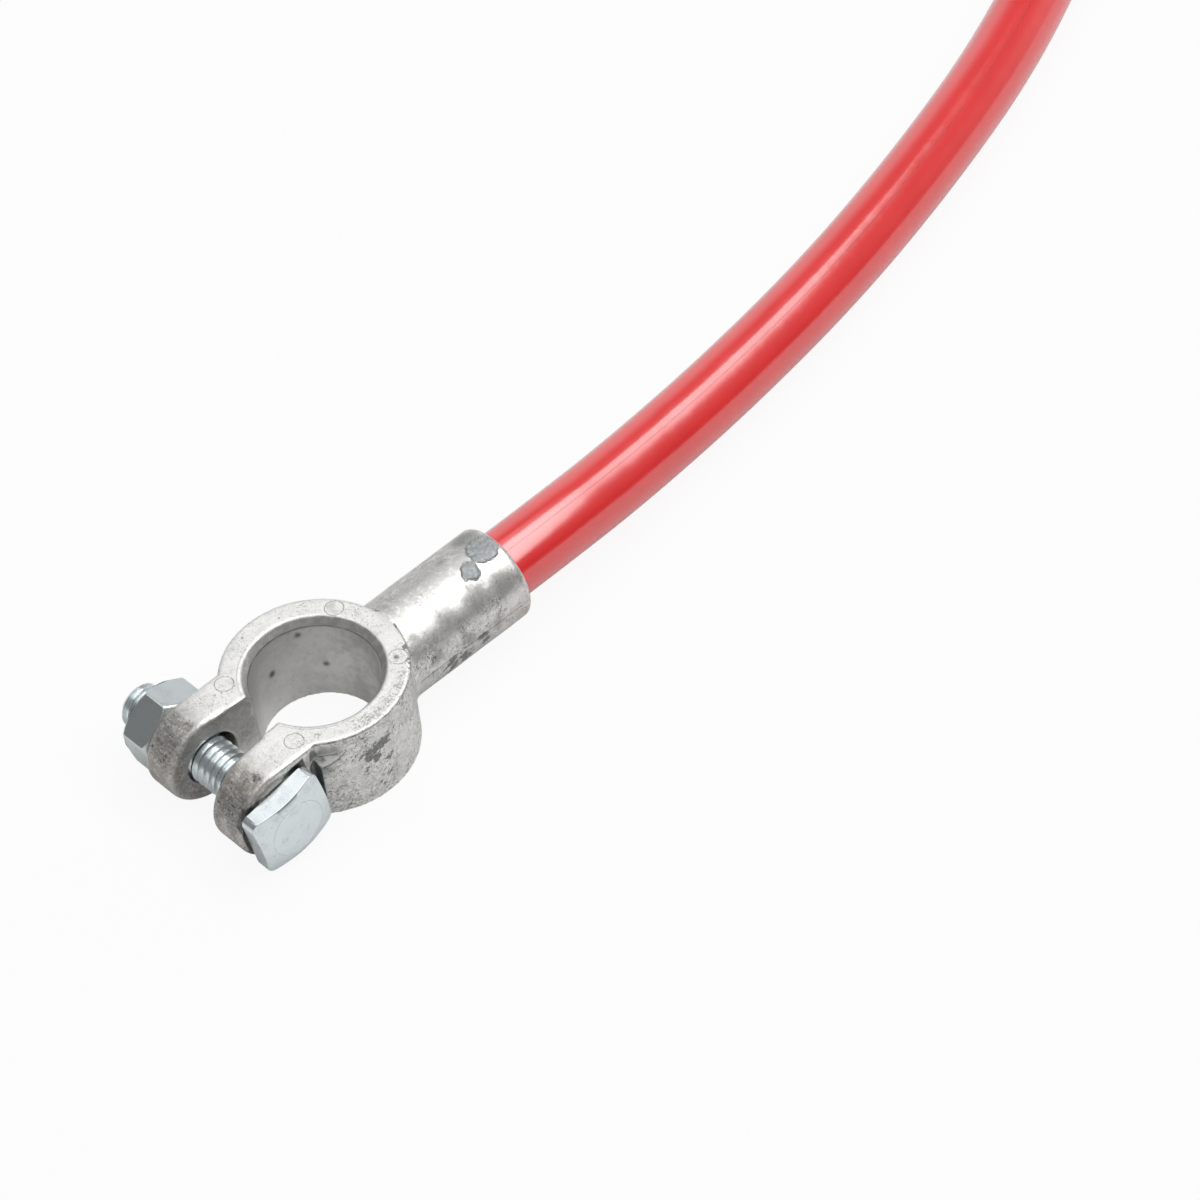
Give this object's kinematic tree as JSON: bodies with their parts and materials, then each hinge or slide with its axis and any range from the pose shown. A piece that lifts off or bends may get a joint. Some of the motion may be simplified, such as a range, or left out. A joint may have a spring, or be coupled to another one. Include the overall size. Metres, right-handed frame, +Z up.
{
  "type": "battery terminal clamp",
  "caption": "Cast split-ring clamp for a battery post, with a square-head clamp bolt and nut and a red cable lead that ends in a ring lug.",
  "frame": {"origin": "on the post bore's axis at the ring's lower, narrow-bore face, which rests on the surface", "axes": "+Z up the bore's axis toward its chamfered wide end, +X toward the cable barrel, the bolt along Y with its nut at +Y"},
  "size_m": [0.2943, 0.2141, 0.0162],
  "materials": {
    "clamp_casting": "as cast lead alloy, satin with dull oxide patches",
    "clamp_bolt": "bright zinc plate",
    "clamp_nut": "bright zinc plate",
    "cable_jacket": "semi-gloss soft PVC",
    "cable_core": "bare stranded copper",
    "cable_lug": "tin-plated copper"
  },
  "bodies": {
    "clamp": {"clamp_casting": "clamp_casting", "cable_jacket": "cable_jacket", "cable_core": "cable_core", "cable_lug": "cable_lug"},
    "bolt": {"clamp_bolt": "clamp_bolt"},
    "nut": {"clamp_nut": "clamp_nut"}
  },
  "joints": [
    {"name": "nut_turn", "type": "hinge", "parent": "clamp", "child": "nut", "pos_m": [-0.0183, 0.0114, 0.00765], "axis": [0, 1, 0], "range_deg": [0, 1080]},
    {"name": "bolt_slide", "type": "slide", "parent": "clamp", "child": "bolt", "axis": [0, -1, 0], "range_m": [0, 0.0038]}
  ],
  "couplings": [
    {"joint": "bolt_slide", "follows": "nut_turn", "m_per_rad": 0.00019894}
  ]
}
